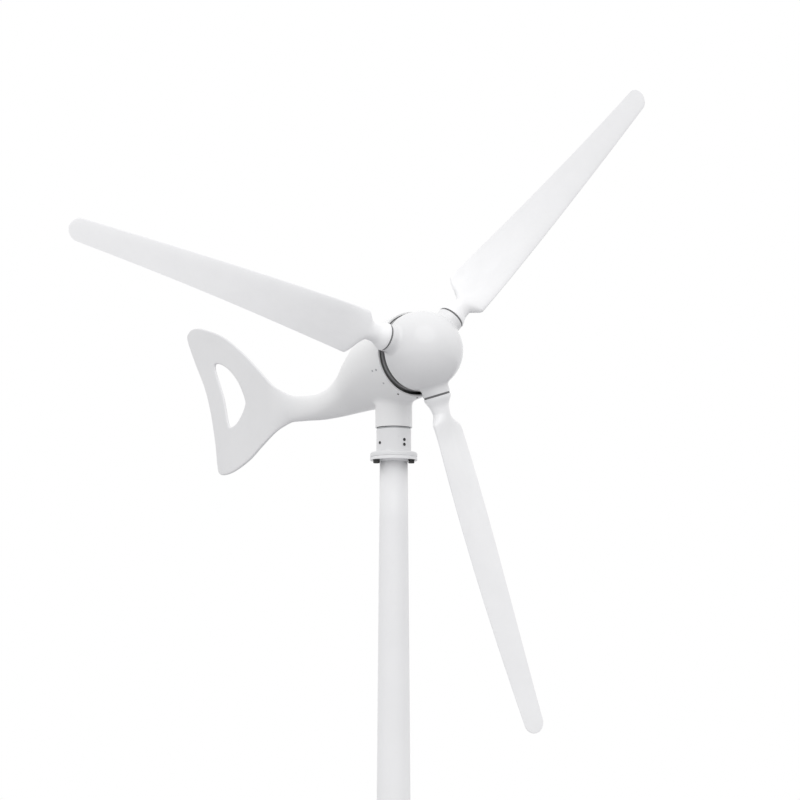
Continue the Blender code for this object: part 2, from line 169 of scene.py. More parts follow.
FLANGE_BOLT_CIRCLE = 0.0505
FLANGE_BOLT_DEGREES = (60.0, 180.0, 300.0)
FLANGE_WASHER_RADIUS = 0.0086
FLANGE_WASHER_THICK = 0.0014
FLANGE_BOLT_ACROSS = 0.0145
FLANGE_BOLT_DEPTH = 0.0092

SCREW_SINK = 0.002                # how far a screw's head goes into the surface
HOUSING_SCREW_RADIUS = 0.0038
NACELLE_SCREW_RADIUS = 0.0026
# Degrees round the mast and height, then degrees round the shaft and distance behind the rim. The
# flank screws' degrees are counted down from both sides.
HOUSING_SCREWS = ((-84.0, 0.0410), (-84.0, 0.0287), (187.0, 0.0340), (38.0, 0.0340))
RIM_SCREWS = ((250.0, 0.017), (278.0, 0.014))
FLANK_SCREWS = ((26.0, 0.022), (26.0, 0.039), (46.0, 0.022))

# Distance along Y, then top, bottom and half width of the housing, heights from the rotor axis.
NACELLE_SECTIONS = [
    (-0.130, 0.1085, -0.1085, 0.1085),
    (RIM_Y, RIM_RADIUS - RIM_DROP, -RIM_RADIUS - RIM_DROP, RIM_RADIUS),
    (-0.075, 0.1020, -0.1135, 0.1075),
    (-0.020, 0.0930, -0.1180, 0.1070),
    (0.050, 0.0780, -0.1190, 0.1020),
    (0.130, 0.0400, -0.1180, 0.0830),
    (0.200, 0.0030, -0.1190, 0.0600),
    (0.280, -0.0290, -0.1200, 0.0410),
    (0.370, -0.0450, -0.1180, 0.0260),
    (0.460, -0.0430, -0.1110, 0.0165),
    (0.560, -0.0270, -0.1080, 0.0100),
    (0.620, -0.0050, -0.1190, 0.0080),
]

# Outline of the tail fin as (distance along Y, height from the rotor axis).
FIN_TOP = [(0.530, -0.034), (0.598, -0.012), (0.654, 0.013), (0.728, 0.061), (0.836, 0.128),
           (0.956, 0.188), (1.079, 0.226), (1.132, 0.235)]
FIN_TIP = [(1.166, 0.231), (1.180, 0.208)]
FIN_BACK = [(1.125, 0.129), (1.063, 0.050), (1.021, -0.030), (0.991, -0.118), (0.977, -0.180)]
FIN_BOTTOM = [(0.966, -0.206), (0.935, -0.215), (0.870, -0.210), (0.782, -0.187), (0.707, -0.155),
              (0.640, -0.128), (0.590, -0.115), (0.530, -0.109)]
FIN_HOLE = [(1.000, 0.098), (0.982, 0.111), (0.920, 0.089), (0.856, 0.045), (0.810, -0.012),
            (0.812, -0.036), (0.850, -0.070), (0.893, -0.082), (0.914, -0.067), (0.945, 0.010)]


# ---- Camera, light and stage ----
def add_object(name, data):
    obj = bpy.data.objects.new(name, data)
    bpy.context.scene.collection.objects.link(obj)
    return obj


def to_mesh(name, bm):
    """Turn a bmesh into a mesh and free it."""
    mesh = bpy.data.meshes.new(name)
    bm.to_mesh(mesh)
    bm.free()
    return mesh


def add_camera():
    camera = add_object("camera", bpy.data.cameras.new("camera"))
    camera.data.lens = CAMERA_LENS
    camera.data.sensor_width = 36.0
    camera.data.clip_end = 400.0
    camera.location = CAMERA_PLACE
    camera.rotation_euler = [math.radians(turn) for turn in CAMERA_TURN_DEG]
    bpy.context.scene.camera = camera


def add_key_light():
    """Large round softbox above the camera, aimed at the hub."""
    light = bpy.data.lights.new("key", "AREA")
    light.shape = "DISK"
    light.size = KEY_SIZE
    light.energy = KEY_POWER
    key = add_object("key", light)
    key.location = KEY_PLACE
    key.rotation_euler = (HUB - Vector(KEY_PLACE)).to_track_quat("-Z", "Y").to_euler()


def add_world():
    """Even white surroundings, darker towards the ground and in one soft zone."""
    bpy.context.scene.view_settings.view_transform = "Standard"
    world = bpy.data.worlds.new("studio")
    bpy.context.scene.world = world
    made = Nodes(world, "Generated")
    split = made.add("SeparateXYZ")
    made.link(made.place, split.inputs[0])
    ramp = made.add("ValToRGB")
    made.link(made.spread(split.outputs["Z"], 0.0, 1.0, -1.0, 1.0), ramp.inputs[0])
    low, high = ramp.color_ramp.elements
    low.position = GLOW_STOP
    low.color = (*GROUND_GLOW, 1.0)
    high.position = WHITE_STOP
    high.color = (1.0, 1.0, 1.0, 1.0)
    toward = made.add("VectorMath")
    toward.operation = "DOT_PRODUCT"
    toward.inputs[1].default_value = Vector(DARK_SIDE).normalized()
    made.link(made.place, toward.inputs[0])
    outer, inner = (math.cos(math.radians(degrees)) for degrees in (DARK_OUTER_DEG, DARK_INNER_DEG))
    shade = made.spread(toward.outputs["Value"], 1.0, DARK_LEVEL, outer, inner)
    shade.node.interpolation_type = "SMOOTHSTEP"
    dim = made.add("VectorMath")
    dim.operation = "SCALE"
    made.link(ramp.outputs[0], dim.inputs[0])
    made.link(shade, dim.inputs["Scale"])
    background = made.tree.nodes["Background"]
    made.link(dim.outputs[0], background.inputs["Color"])
    background.inputs["Strength"].default_value = 1.0


def add_stage():
    """Plain pale round floor under the base plate."""
    bm = bmesh.new()
    bmesh.ops.create_circle(bm, cap_ends=True, segments=128, radius=FLOOR_RADIUS)
    floor = add_object("floor", to_mesh("floor", bm))
    made = Surface("floor", 0.9)
    made.shader.inputs["Base Color"].default_value = (*FLOOR_COLOUR, 1.0)
    floor.data.materials.append(made.material)


# ---- Materials ----
STEEL_COLOUR = (0.60, 0.61, 0.63)
STEEL_DIM = tuple(0.72 * channel for channel in STEEL_COLOUR)


class Nodes:
    """Short way to add and join the nodes of a material or a world."""

    def __init__(self, owner, coordinates):
        owner.use_nodes = True
        self.tree = owner.node_tree
        self.place = self.add("TexCoord").outputs[coordinates]

    def add(self, kind):
        return self.tree.nodes.new("ShaderNode" + kind)

    def link(self, output, target):
        self.tree.links.new(output, target)

    def spread(self, value, low, high, start=0.3, stop=0.7):
        node = self.add("MapRange")
        node.inputs["From Min"].default_value = start
        node.inputs["From Max"].default_value = stop
        node.inputs["To Min"].default_value = low
        node.inputs["To Max"].default_value = high
        self.link(value, node.inputs["Value"])
        return node.outputs[0]


class Surface(Nodes):
    """The nodes of a new material, around its Principled shader."""

    def __init__(self, name, roughness, metallic=0.0):
        self.material = bpy.data.materials.new(name)
        super().__init__(self.material, "Object")
        self.shader = self.tree.nodes["Principled BSDF"]
        self.shader.inputs["Roughness"].default_value = roughness
        self.shader.inputs["Metallic"].default_value = metallic

    def noise(self, scale, detail=4.0, roughness=0.55, stretch=None):
        texture = self.add("TexNoise")
        texture.inputs["Scale"].default_value = scale
        texture.inputs["Detail"].default_value = detail
        texture.inputs["Roughness"].default_value = roughness
        if stretch is None:
            self.link(self.place, texture.inputs["Vector"])
        else:
            mapping = self.add("Mapping")
            mapping.inputs["Scale"].default_value = stretch
            self.link(self.place, mapping.inputs["Vector"])
            self.link(mapping.outputs[0], texture.inputs["Vector"])
        return texture.outputs["Fac"]

    def mix(self, factor, first, second):
        """Mix two colours, each a tuple or another node's output."""
        node = self.add("Mix")
        node.data_type = "RGBA"
        self.link(factor, node.inputs["Factor"])
        for value, socket in ((first, node.inputs["A"]), (second, node.inputs["B"])):
            if isinstance(value, tuple):
                socket.default_value = (*value, 1.0)
            else:
                self.link(value, socket)
        return node.outputs["Result"]

    def bump(self, height, strength, distance, below=None):
        node = self.add("Bump")
        node.inputs["Strength"].default_value = strength
        node.inputs["Distance"].default_value = distance
        self.link(height, node.inputs["Height"])
        if below is not None:
            self.link(below, node.inputs["Normal"])
        return node.outputs["Normal"]

    def finish(self, colour, normal, roughness):
        self.link(colour, self.shader.inputs["Base Color"])
        self.link(normal, self.shader.inputs["Normal"])
        self.link(roughness, self.shader.inputs["Roughness"])
        return self.material


def paint(name, colour, gloss_low, gloss_high, peel=420.0, peel_strength=0.10, tail=None):
    """Sprayed paint: faint clouds of tone, orange peel and fine dust that settles in them.

    A tail is another colour and the two distances along Y between which the paint turns to it.
    """
    made = Surface(name, gloss_high)
    cloud = made.noise(5.0, 3.0)
    dust = made.noise(60.0, 8.0, 0.7)
    dim = tuple(0.965 * channel for channel in colour)
    warm = (0.93 * colour[0], 0.92 * colour[1], 0.90 * colour[2])
    tone = made.mix(made.spread(cloud, 0.0, 1.0), colour, dim)
    if tail is not None:
        tail_colour, start, stop = tail
        split = made.add("SeparateXYZ")
        made.link(made.place, split.inputs[0])
        tone = made.mix(made.spread(split.outputs["Y"], 0.0, 1.0, start, stop), tone, tail_colour)
    tone = made.mix(made.spread(dust, 0.0, 0.35, 0.58, 0.80), tone, warm)
    peel_normal = made.bump(made.noise(peel, 2.0), peel_strength, 0.0006)
    normal = made.bump(made.noise(38.0, 2.0), 0.05, 0.0010, peel_normal)
    rough = made.spread(dust, gloss_low, gloss_high)
    return made.finish(tone, normal, rough)


def moulded_blade():
    """Satin moulded plastic: fine grain, and soft streaks that are narrow along Y."""
    made = Surface("blade_plastic", 0.36)
    streak = made.noise(14.0, 6.0, 0.6, (1.0, 6.0, 1.0))
    grain = made.noise(900.0, 2.0)
    tone = made.mix(made.spread(streak, 0.0, 1.0), (0.91, 0.91, 0.92), (0.88, 0.88, 0.89))
    normal = made.bump(grain, 0.10, 0.0003, made.bump(made.noise(22.0, 3.0), 0.05, 0.0012))
    return made.finish(tone, normal, made.spread(streak, 0.32, 0.42))


def brushed_steel():
    """Bright steel: fine lines across Z, and blotches that vary its roughness."""
    made = Surface("steel", 0.30, 1.0)
    lines = made.noise(300.0, 3.0, 0.5, (1.0, 1.0, 14.0))
    blotch = made.noise(45.0, 5.0)
    tone = made.mix(made.spread(blotch, 0.0, 1.0), STEEL_COLOUR, STEEL_DIM)
    return made.finish(tone, made.bump(lines, 0.15, 0.0004), made.spread(blotch, 0.24, 0.46))


def gritty(name, plain, blotch, tones, grit, bump, rough):
    """Metal or rubber in two blotched tones, with a fine grit that varies its roughness.

    Plain is the roughness and the metallic value that the shader has without the grit.
    """
    made = Surface(name, *plain)
    grain = made.noise(*grit)
    tone = made.mix(made.spread(made.noise(blotch), 0.0, 1.0), *tones)
    return made.finish(tone, made.bump(grain, *bump), made.spread(grain, *rough))


# ---- Mesh tools ----
def mesh_object(name, bm, material, body, replaced=(), smooth_degrees=38.0):
    """Object from a bmesh, riding on a body and standing for CAD nodes."""
    mesh = to_mesh(name, bm)
    mesh.shade_smooth()
    mesh.set_sharp_from_angle(angle=math.radians(smooth_degrees))
    mesh.materials.append(material)
    obj = add_object(name, mesh)
    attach(obj, body)
    if replaced:
        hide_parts(*replaced)
    return obj


def smooth_step(value):
    """Rise from 0 to 1, level at both ends, for a number or an array."""
    value = np.clip(value, 0.0, 1.0)
    return value * value * (3.0 - 2.0 * value)


def spline(points, per_span, closed=False):
    """Smooth (Catmull-Rom) curve through a few points."""
    points = [Vector(p) for p in points]
    before, after = (points[-1:], points[:2]) if closed else (points[:1], points[-1:])
    line = before + points + after
    result = []
    for p0, p1, p2, p3 in zip(line, line[1:], line[2:], line[3:]):
        for step in range(per_span):
            t = step / per_span
            result.append(0.5 * (2.0 * p1 + (p2 - p0) * t
                                 + (2.0 * p0 - 5.0 * p1 + 4.0 * p2 - p3) * t * t
                                 + (3.0 * p1 - p0 - 3.0 * p2 + p3) * t ** 3))
    if not closed:
        result.append(points[-1])
    return result


def around(degrees, radius, height):
    """Point round the Z axis."""
    angle = math.radians(degrees)
    return Vector((radius * math.cos(angle), radius * math.sin(angle), height))


def circle(radius, height, steps):
    """Points of a level circle round the Z axis."""
    angles = [2.0 * math.pi * i / steps for i in range(steps)]
    return [Vector((radius * math.cos(a), radius * math.sin(a), height)) for a in angles]


def add_rings(bm, rings, caps=True):
    """Skin a body through rings of equally many points, with or without its two end faces."""
    loops = [[bm.verts.new(point) for point in ring] for ring in rings]
    count = len(loops[0])
    for near, far in zip(loops, loops[1:]):
        for i in range(count):
            j = (i + 1) % count
            bm.faces.new((near[i], near[j], far[j], far[i]))
    if caps:
        bm.faces.new(loops[0][::-1])
        bm.faces.new(loops[-1])


def rounded_outline(corners):
    """Outline of (radius, height, rounding) corners with each corner turned into a short arc."""
    result = []
    for i, (radius, height, rounding) in enumerate(corners):
        here = Vector((radius, height))
        if rounding <= 0.0:
            result.append(here)
            continue
        before = (Vector(corners[i - 1][:2]) - here).normalized()
        after = (Vector(corners[(i + 1) % len(corners)][:2]) - here).normalized()
        start = here + before * rounding
        stop = here + after * rounding
        for step in range(6):
            t = step / 5.0
            result.append(start * (1.0 - t) ** 2 + here * 2.0 * t * (1.0 - t) + stop * t * t)
    return result


def add_turned(bm, corners, steps=96, place=None):
    """Add a closed body turned about Z from an outline of (radius, height, rounding) corners."""
    rings = [circle(point.x, point.y, steps) for point in rounded_outline(corners)]
    rings.append(rings[0])
    part = bmesh.new()
    add_rings(part, rings, False)
    bmesh.ops.remove_doubles(part, verts=part.verts, dist=1e-6)
    if place is not None:
        part.transform(place)
    join(bm, part)


def add_collar(bm, radii, heights, steps, place=None, rounding=(0.0, 0.0)):
    """Add a plain ring between two radii and two heights, with its two outer edges rounded."""
    inner, outer = radii
    low, high = heights
    add_turned(bm, [(inner, low, 0.0), (outer, low, rounding[0]), (outer, high, rounding[1]),
                    (inner, high, 0.0)], steps, place)


def join(bm, part):
    """Move a bmesh into another, with its faces pointing out."""
    bmesh.ops.recalc_face_normals(part, faces=part.faces)
    mesh = to_mesh("part", part)
    bm.from_mesh(mesh)
    bpy.data.meshes.remove(mesh)


def along(direction, place):
    """Matrix that stands a part made along +Z on a place, pointing in a direction."""
    turn = UP.rotation_difference(direction).to_matrix().to_4x4()
    return Matrix.Translation(place) @ turn


def add_prism(bm, outline, low, high, bevel, place):
    """Add a prism of an (x, y) outline between two heights, with its edges bevelled."""
    part = bmesh.new()
    face = part.faces.new([part.verts.new((x, y, low)) for x, y in outline])
    made = bmesh.ops.extrude_face_region(part, geom=[face])
    raised = [item for item in made["geom"] if isinstance(item, bmesh.types.BMVert)]
    bmesh.ops.translate(part, verts=raised, vec=(0.0, 0.0, high - low))
    if bevel > 0.0:
        bmesh.ops.recalc_face_normals(part, faces=part.faces)
        sharp = [e for e in part.edges if e.calc_face_angle(0.0) > math.radians(40.0)]
        bmesh.ops.bevel(part, geom=sharp, offset=bevel, segments=3, profile=0.5, affect="EDGES")
    part.transform(place)
    join(bm, part)


def add_hex(bm, across, low, high, place, chamfer=0.0008):
    outline = [p.xy for p in circle(across / math.sqrt(3.0), 0.0, 6)]
    add_prism(bm, outline, low, high, chamfer, place)


def add_socket_screw(bm, head_radius, head_height, place):
    """Round screw head with a round socket sunk into it."""
    socket = 0.52 * head_radius
    depth = 0.35 * head_height
    corners = [(socket, depth, 0.0), (socket, head_height, 0.0),
               (head_radius, head_height, 0.25 * head_height), (head_radius, -SCREW_SINK, 0.0),
               (0.0004, -SCREW_SINK, 0.0), (0.0004, depth, 0.0)]
    add_turned(bm, corners, 24, place)


def project(positions, distance, steps=8):
    """Move points onto the surface where a distance function is zero."""
    small = 2e-5
    for _ in range(steps):
        value = distance(positions)
        slope = np.empty_like(positions)
        for axis in range(3):
            offset = np.zeros(3)
            offset[axis] = small
            rise = distance(positions + offset) - distance(positions - offset)
            slope[:, axis] = rise / (2.0 * small)
        size = np.maximum((slope ** 2).sum(axis=1), 1e-6)
        step = np.clip(value / size, -0.004, 0.004)
        positions = positions - slope * step[:, None]
    return positions


def with_modifiers(obj):
    """New mesh of an object as its modifiers shape it."""
    graph = bpy.context.evaluated_depsgraph_get()
    return bpy.data.meshes.new_from_object(obj.evaluated_get(graph))


def skin(rough, distance, voxel):
    """Even mesh of joined solids, moved onto the smooth surface that a distance function gives."""
    obj = add_object("rough", to_mesh("rough", rough))
    modifier = obj.modifiers.new("Remesh", "REMESH")
    modifier.mode = "VOXEL"
    modifier.voxel_size = voxel
    shaped = with_modifiers(obj)
    bpy.data.objects.remove(obj)
    positions = np.empty(len(shaped.vertices) * 3)
    shaped.vertices.foreach_get("co", positions)
    positions = project(positions.reshape(-1, 3), distance)
    shaped.vertices.foreach_set("co", positions.ravel())
    bm = bmesh.new()
    bm.from_mesh(shaped)
    bpy.data.meshes.remove(shaped)
    for _ in range(3):
        bmesh.ops.smooth_vert(bm, verts=bm.verts, factor=0.5, use_axis_x=True, use_axis_y=True,
                              use_axis_z=True)
    positions = project(np.array([v.co for v in bm.verts]), distance, 4)
    for vert, co in zip(bm.verts, positions):
        vert.co = co
    return bm


def cut(bm, place, normal, near=None):
    """Cut off what is on the side that the normal points to, where near accepts the face."""
    faces = list(bm.faces)
    if near is not None:
        faces = [face for face in faces if near(face.calc_center_median())]
    geom = set(faces)
    for face in faces:
        geom.update(face.edges)
        geom.update(face.verts)
    bmesh.ops.bisect_plane(bm, geom=list(geom), dist=1e-6, plane_co=place, plane_no=normal,
                           clear_outer=True)


def add_wall(obj, wall):
    """Give a surface a wall towards its inside."""
    solid = obj.modifiers.new("Wall", "SOLIDIFY")
    solid.thickness = wall
    solid.offset = -1.0


def thicken(obj, wall):
    """Give a surface a wall with softly rounded rims."""
    add_wall(obj, wall)
    round_over = obj.modifiers.new("Rim", "BEVEL")
    round_over.width = 0.0007
    round_over.segments = 2
    round_over.limit_method = "ANGLE"
    round_over.angle_limit = math.radians(60.0)


def smooth_min(first, second, blend):
    overlap = np.maximum(blend - np.abs(first - second), 0.0)
    return np.minimum(first, second) - overlap ** 2 / (4.0 * blend)


# ---- Mast ----
def mast_radius(height):
    share = height / FLANGE_LOW.z
    return MAST_BASE_RADIUS + (MAST_TOP_RADIUS - MAST_BASE_RADIUS) * share


def build_base_plate(material):
    """Plate with rounded corners, softened edges and four anchor holes."""
    half = PLATE_HIGH.x
    outline = []
    for quarter in range(4):
        corner = Vector((half - PLATE_CORNER, half - PLATE_CORNER))
        for step in range(9):
            angle = step * math.pi / 16.0
            point = corner + PLATE_CORNER * Vector((math.cos(angle), math.sin(angle)))
            point.rotate(Matrix.Rotation(quarter * math.pi / 2.0, 2))
            outline.append(point)
    bm = bmesh.new()
    add_prism(bm, outline, 0.0, PLATE_HIGH.z, 0.0015, Matrix.Identity(4))
    plate = mesh_object("base_plate_steel", bm, material, "mast", ["base_plate"])
    holes = bmesh.new()
    for place in anchor_places():
        hole = [p.xy for p in circle(ANCHOR_HOLE_RADIUS, 0.0, 32)]
        add_prism(holes, hole, *HOLE_CUTTER_ENDS, 0.0, Matrix.Translation(place))
    cutter = add_object("anchor_holes", to_mesh("anchor_holes", holes))
    modifier = plate.modifiers.new("Holes", "BOOLEAN")
    modifier.operation = "DIFFERENCE"
    modifier.object = cutter
    plate.data = with_modifiers(plate)
    plate.modifiers.clear()
    bpy.data.objects.remove(cutter)


def anchor_places():
    half = ANCHOR_SPACING / 2.0
    return [Vector((sx * half, sy * half, 0.0)) for sx in (-1, 1) for sy in (-1, 1)]


def build_anchor_bolts(steel):
    """Washer, nut and threaded stud end at each anchor hole."""
    top = PLATE_HIGH.z + GAP
    bore = ANCHOR_STUD_RADIUS + 0.0005
    washer_top = top + ANCHOR_WASHER_THICK
    nut_low = washer_top + GAP
    bm = bmesh.new()
    for place in anchor_places():
        stand = Matrix.Translation(place)
        add_collar(bm, (bore, ANCHOR_WASHER_RADIUS), (top, washer_top), 48, stand, (0.0004, 0.0005))
        turn = Matrix.Rotation(place.x + 0.4, 4, "Z")
        add_hex(bm, ANCHOR_NUT_ACROSS, nut_low, nut_low + ANCHOR_NUT_HEIGHT, stand @ turn, 0.0012)
        add_thread(bm, ANCHOR_STUD_RADIUS, 0.002, top + ANCHOR_STUD_RISE, ANCHOR_THREAD_PITCH,
                   stand)
    mesh_object("anchor_bolts", bm, steel, "mast")


def add_thread(bm, radius, low, high, pitch, place):
    """Threaded stud: a rod whose radius rises and falls once a pitch, with chamfered ends."""
    rings = []
    count = int(round((high - low) / pitch)) * 4
    for i in range(count + 1):
        height = low + (high - low) * i / count
        groove = 0.0006 * (0.5 - 0.5 * math.cos(2.0 * math.pi * i / 4.0))
        edge = min(high - height, height - low)
        depth = groove + max(0.0012 - edge, 0.0)
        rings.append(circle(radius - depth, height, 32))
    part = bmesh.new()
    add_rings(part, rings)
    part.transform(place)
    join(bm, part)


def build_gussets(material):
    """Four stiffening plates between the tube and the base plate."""
    inner, low = GUSSET_LOW.xz
    outer, high = GUSSET_HIGH.xz
    side = [(inner, low), (outer, low), (outer, low + GUSSET_TOE), (inner + GUSSET_TOE, high),
            (inner, high)]
    thick = GUSSET_HIGH.y - GUSSET_LOW.y
    stand = Matrix.Translation((0.0, thick / 2.0, 0.0)) @ Matrix.Rotation(math.pi / 2.0, 4, "X")
    for number in range(4):
        bm = bmesh.new()
        turn = Matrix.Rotation(number * math.pi / 2.0, 4, "Z")
        add_prism(bm, side, 0.0, thick, 0.0010, turn @ stand)
        mesh_object(f"gusset_plate_{number + 1}", bm, material, "mast",
                    [f"gusset_{number + 1}"])


def add_bead(bm, path, radius, closed=False, ripple=0.0045):
    """Rippled weld bead along a path of (point, outward, upward) rows."""
    rings = []
    travelled = 0.0
    for i, (point, outward, upward) in enumerate(path):
        if i:
            travelled += (point - path[i - 1][0]).length
        size = radius * (1.0 + 0.10 * math.sin(2.0 * math.pi * travelled / ripple))
        rings.append([point + outward * p.x + upward * p.y for p in circle(size, 0.0, 8)])
    part = bmesh.new()
    if closed:
        rings.append(rings[0])
    add_rings(part, rings, not closed)
    if closed:
        bmesh.ops.remove_doubles(part, verts=part.verts, dist=1e-6)
    join(bm, part)


def ring_path(radius, height, count):
    """Rows for a bead that runs round the Z axis."""
    return [(place, place.xy.normalized().to_3d(), UP) for place in circle(radius, height, count)]


def build_welds(material):
    """Fillet welds of the tube, the gussets and the top flange."""
    bm = bmesh.new()
    foot = PLATE_HIGH.z + 0.0012
    add_bead(bm, ring_path(mast_radius(foot) + 0.001, foot, 360), FOOT_WELD_RADIUS, True)
    add_bead(bm, ring_path(MAST_TOP_RADIUS + 0.0006, FLANGE_LOW.z - 0.0010, 240), WELD_RADIUS, True)
    heights = np.linspace(GUSSET_LOW.z + 0.003, GUSSET_HIGH.z - 0.001, 60)
    reaches = np.linspace(GUSSET_LOW.x + 0.003, GUSSET_HIGH.x - 0.001, 36)
    beside = GUSSET_HIGH.y + 0.0004
    for number in range(4):
        turn = Matrix.Rotation(number * math.pi / 2.0, 3, "Z")
        for side in (-1.0, 1.0):
            outward = turn @ Vector((1.0, 0.0, 0.0))
            sideways = turn @ Vector((0.0, side, 0.0))
            y = side * beside
            upright = [(turn @ Vector((mast_radius(z) + 0.0002, y, z)), outward, sideways)
                       for z in heights]
            flat = [(turn @ Vector((x, y, PLATE_HIGH.z + 0.0004)), sideways, UP) for x in reaches]
            add_bead(bm, upright, WELD_RADIUS)
            add_bead(bm, flat, WELD_RADIUS)
    mesh_object("weld_beads", bm, material, "mast")


def build_mast_tube(material):
    heights = np.linspace(TUBE_LOW.z, TUBE_HIGH.z, 25)
    bm = bmesh.new()
    add_rings(bm, [circle(mast_radius(z), z, 160) for z in heights], False)
    bmesh.ops.recalc_face_normals(bm, faces=bm.faces)
    tube = mesh_object("mast_tube_steel", bm, material, "mast", ["mast_tube"])
    add_wall(tube, MAST_WALL)


def build_mast_flange(material):
    bm = bmesh.new()
    add_collar(bm, (MAST_TOP_RADIUS - MAST_WALL, FLANGE_HIGH.x), (FLANGE_LOW.z, FLANGE_HIGH.z), 128,
               rounding=(0.0010, 0.0010))
    mesh_object("mast_flange_ring", bm, material, "mast", ["mast_top_flange"])


def build_flange_bolts(black):
    """Washers and hexagon heads under the mast's flange."""
    bm = bmesh.new()
    for number, degrees in enumerate(FLANGE_BOLT_DEGREES):
        down = Matrix.Translation(around(degrees, FLANGE_BOLT_CIRCLE, FLANGE_LOW.z - GAP))
        down = down @ Matrix.Rotation(math.pi, 4, "X") @ Matrix.Rotation(0.5 * number, 4, "Z")
        add_collar(bm, (0.0042, FLANGE_WASHER_RADIUS), (0.0, FLANGE_WASHER_THICK), 32, down,
                   (0.0002, 0.0003))
        add_hex(bm, FLANGE_BOLT_ACROSS, FLANGE_WASHER_THICK, FLANGE_BOLT_DEPTH, down)
    mesh_object("flange_bolts", bm, black, "mast")


# ---- Yaw bearing ----
def build_yaw_housing(material):
    low = HOUSING_LOW.z
    high = HOUSING_HIGH.z
    flange = HOUSING_HIGH.x
    shoulder = low + 0.012
    bore = 0.0235
    corners = [(bore, low, 0.0), (flange, low, 0.0008), (flange, shoulder, 0.0060),
               (HOUSING_RADIUS, shoulder, 0.0035), (HOUSING_RADIUS, high, 0.0008),
               (bore, high, 0.0)]
    bm = bmesh.new()
    add_turned(bm, corners, 160)
    mesh_object("yaw_housing_casting", bm, material, "mast", ["yaw_base_housing"])


def build_yaw_details(black, metal):
    """Socket screws in the housing, and the bearing's grooved ring in the seam."""
    bm = bmesh.new()
    for degrees, height in HOUSING_SCREWS:
        place = around(degrees, HOUSING_RADIUS, HOUSING_LOW.z + height)
        add_socket_screw(bm, HOUSING_SCREW_RADIUS, 0.0012, along(around(degrees, 1.0, 0.0), place))
    mesh_object("housing_screws", bm, black, "mast")
    inner = 0.0226
    outer = HOUSING_RADIUS - 0.0014
    bm = bmesh.new()
    bottom = HOUSING_HIGH.z + GAP
    add_turned(bm, [(inner, bottom, 0.0), (outer, bottom, 0.0004),
                    (outer - 0.0006, bottom + 0.0016, 0.0006),
                    (outer, bottom + 0.0034, 0.0006), (inner, bottom + 0.0034, 0.0)], 128)
    mesh_object("yaw_seal_ring", bm, metal, "mast", ["yaw_bearing_ring"])


# ---- Nacelle ----
def section_at(y):
    """Top, bottom and half width of the housing at each y, smoothly between the sections."""
    rows = np.array(NACELLE_SECTIONS)
    place = rows[:, 0]
    slopes = np.gradient(rows[:, 1:], place, axis=0)
    index = np.clip(np.searchsorted(place, y) - 1, 0, len(place) - 2)
    width = place[index + 1] - place[index]
    t = np.clip((y - place[index]) / width, 0.0, 1.0)[:, None]
    width = width[:, None]
    first = rows[index, 1:]
    second = rows[index + 1, 1:]
    return (first * (1 + 2 * t) * (1 - t) ** 2 + second * t * t * (3 - 2 * t)
            + slopes[index] * width * t * (1 - t) ** 2
            - slopes[index + 1] * width * t * t * (1 - t))


def nacelle_distance(points):
    """Signed distance to the housing's outer surface, with its neck blended in."""
    section = section_at(points[:, 1])
    middle = (section[:, 0] + section[:, 1]) / 2.0
    tall = (section[:, 0] - section[:, 1]) / 2.0
    wide = section[:, 2]
    x = points[:, 0] / wide
    z = (points[:, 2] - HUB.z - middle) / tall
    reach = np.sqrt(x * x + z * z) + 1e-9
    slope = np.sqrt((x / wide) ** 2 + (z / tall) ** 2) + 1e-9
    body = reach * (reach - 1.0) / slope
    neck = np.hypot(points[:, 0], points[:, 1]) - NECK_RADIUS
    neck = np.maximum(neck, points[:, 2] - (HUB.z - NECK_TOP_DROP))
    return smooth_min(body, neck, NECK_BLEND)


def build_nacelle(material):
    """Housing casting: a body that tapers into the tail boom, with the neck blended into it."""
    rough = bmesh.new()
    ys = np.linspace(NACELLE_SECTIONS[0][0] + 0.002, NACELLE_SECTIONS[-1][0] - 0.002, 90)
    rings = []
    for y, (top, bottom, wide) in zip(ys, section_at(ys)):
        middle = HUB.z + (top + bottom) / 2.0
        tall = (top - bottom) / 2.0
        rings.append([Vector((wide * math.cos(a), y, middle + tall * math.sin(a)))
                      for a in np.linspace(0.0, 2.0 * math.pi, 72, endpoint=False)])
    part = bmesh.new()
    add_rings(part, rings)
    join(rough, part)
    neck_low = SEAM_Z + SEAM_GAP
    add_collar(rough, (CORE_RADIUS, NECK_RADIUS),
               (neck_low - ROUGH_MARGIN, HUB.z - NECK_TOP_DROP - 0.01), 72)
    bm = skin(rough, nacelle_distance, CASTING_VOXEL)
    cut(bm, (0.0, RIM_Y, HUB.z), (0.0, -1.0, 0.0))
    cut(bm, (0.0, TAIL_SEAM_Y, HUB.z), (0.0, 1.0, 0.0))
    cut(bm, (0.0, 0.0, neck_low), (0.0, 0.0, -1.0))
    bmesh.ops.recalc_face_normals(bm, faces=bm.faces)
    casting = mesh_object("nacelle_casting", bm, material, "nacelle",
                          ["nacelle_housing"])
    thicken(casting, CASTING_WALL)


def add_nacelle_screws(name, metal, places):
    """Small screws sunk in the housing, by angle round the shaft and distance behind the rim."""
    bm = bmesh.new()
    for degrees, behind in places:
        angle = math.radians(degrees)
        outward = Vector((math.cos(angle), 0.0, math.sin(angle)))
        start = np.array([HUB + outward * RIM_RADIUS])
        start[0, 1] = RIM_Y + behind
        place = Vector(project(start, nacelle_distance)[0])
        add_socket_screw(bm, NACELLE_SCREW_RADIUS, 0.0009, along(outward, place))
    mesh_object(name, bm, metal, "nacelle")


